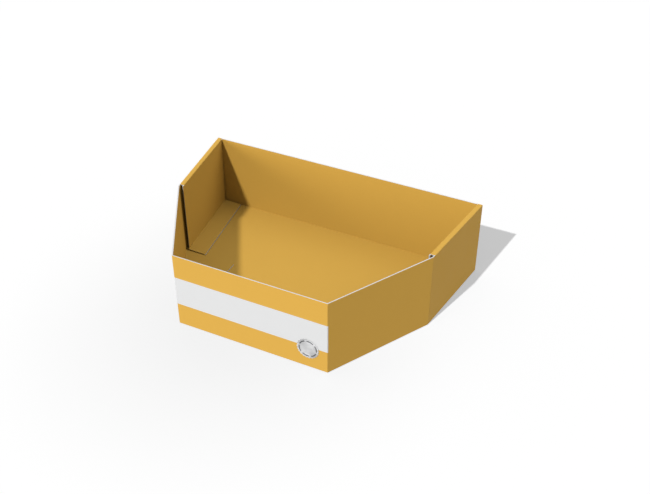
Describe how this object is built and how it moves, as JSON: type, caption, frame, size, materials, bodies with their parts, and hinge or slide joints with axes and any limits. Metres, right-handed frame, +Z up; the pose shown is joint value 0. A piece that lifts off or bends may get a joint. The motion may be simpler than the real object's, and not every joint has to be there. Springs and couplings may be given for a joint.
{
  "type": "display tray",
  "caption": "Open six-sided counter display tray folded from printed board, with slanted front corners and rolled double side walls whose inner layers and floor flanges fold.",
  "frame": {"origin": "middle of the base's underside, on the table", "axes": "+X to the right seen from the front, +Y from the front to the back, +Z up"},
  "size_m": [0.3, 0.2015, 0.081],
  "materials": {
    "yellow_board": "satin",
    "front_print": "satin",
    "silver_foil": "satin"
  },
  "bodies": {
    "tray": {"base_panel": "yellow_board", "front_panel": "front_print", "back_panel": "yellow_board", "left_corner_panel": "yellow_board", "right_corner_panel": "yellow_board", "left_corner_flap": "yellow_board", "right_corner_flap": "yellow_board", "left_side_panel": "yellow_board", "right_side_panel": "yellow_board", "left_rim": "yellow_board", "right_rim": "yellow_board", "left_back_tab": "yellow_board", "right_back_tab": "yellow_board", "foil_seal": "silver_foil"},
    "left_inner_wall": {"left_inner_wall": "yellow_board"},
    "left_floor_flange": {"left_floor_flange": "yellow_board"},
    "right_inner_wall": {"right_inner_wall": "yellow_board"},
    "right_floor_flange": {"right_floor_flange": "yellow_board"}
  },
  "joints": [
    {"name": "left_inner_wall_crease", "type": "hinge", "parent": "tray", "child": "left_inner_wall", "pos_m": [-0.13145, 0.00118, 0.081], "axis": [0.1338, -0.991, 0], "range_deg": [0, 12]},
    {"name": "left_flange_crease", "type": "hinge", "parent": "left_inner_wall", "child": "left_floor_flange", "pos_m": [-0.13145, 0.00118, 0.0038], "axis": [0.1338, -0.991, 0], "range_deg": [0, 85]},
    {"name": "right_inner_wall_crease", "type": "hinge", "parent": "tray", "child": "right_inner_wall", "pos_m": [0.13145, 0.00118, 0.081], "axis": [0.1338, 0.991, 0], "range_deg": [0, 12]},
    {"name": "right_flange_crease", "type": "hinge", "parent": "right_inner_wall", "child": "right_floor_flange", "pos_m": [0.13145, 0.00118, 0.0038], "axis": [0.1338, 0.991, 0], "range_deg": [0, 85]}
  ]
}
